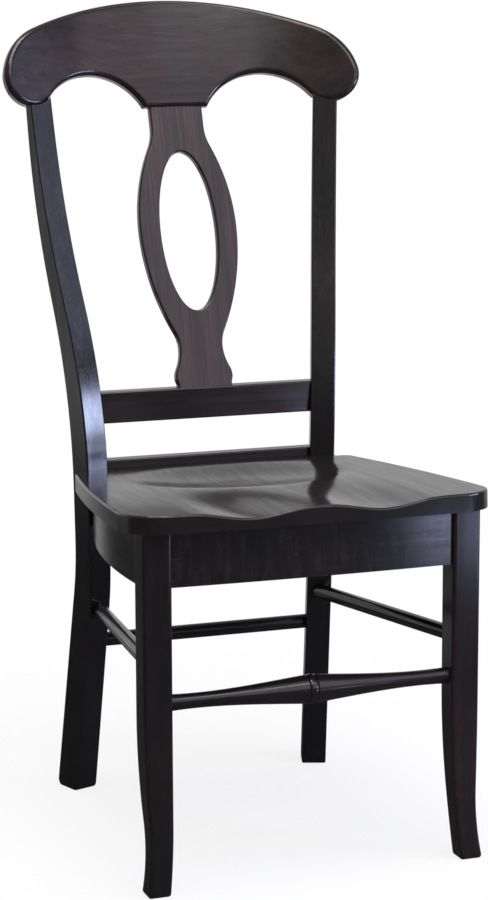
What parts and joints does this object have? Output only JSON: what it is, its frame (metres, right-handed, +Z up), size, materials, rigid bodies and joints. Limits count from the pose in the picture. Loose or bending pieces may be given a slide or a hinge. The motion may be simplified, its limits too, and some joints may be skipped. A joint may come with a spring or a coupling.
{
  "type": "dining side chair",
  "caption": "Armless wooden dining chair with a saddle seat, an arched crest over a pierced vase-shaped splat, swept back posts and turned stretchers.",
  "frame": {"origin": "on the floor, under the middle of the chair's bounding box", "axes": "+Z up; the sitter looks along -Y, so the back of the chair is at +Y; +X is to the right seen from the front, and x = 0 is the mirror plane"},
  "size_m": [0.484, 0.586, 1.0241],
  "materials": {
    "stained_wood": "dark espresso stain under satin lacquer",
    "block_wood": "dark stain, matt",
    "dowel_wood": "bare beech",
    "screw_steel": "zinc plated"
  },
  "bodies": {
    "root": {"back_apron": "stained_wood", "back_post_left": "stained_wood", "back_post_right": "stained_wood", "back_stretcher": "stained_wood", "crest_rail": "stained_wood", "front_apron": "stained_wood", "front_leg_left": "stained_wood", "front_leg_right": "stained_wood", "front_stretcher": "stained_wood", "lower_back_rail": "stained_wood", "seat": "stained_wood", "side_apron_left": "stained_wood", "side_apron_right": "stained_wood", "side_stretcher_left": "stained_wood", "side_stretcher_right": "stained_wood", "splat": "stained_wood", "front_corner_block_left": "block_wood", "front_corner_block_right": "block_wood", "rear_corner_block_left": "block_wood", "rear_corner_block_right": "block_wood", "apron_dowels": "dowel_wood", "crest_dowels": "dowel_wood", "rail_dowels": "dowel_wood", "corner_block_screws": "screw_steel", "seat_screws": "screw_steel"}
  },
  "joints": []
}
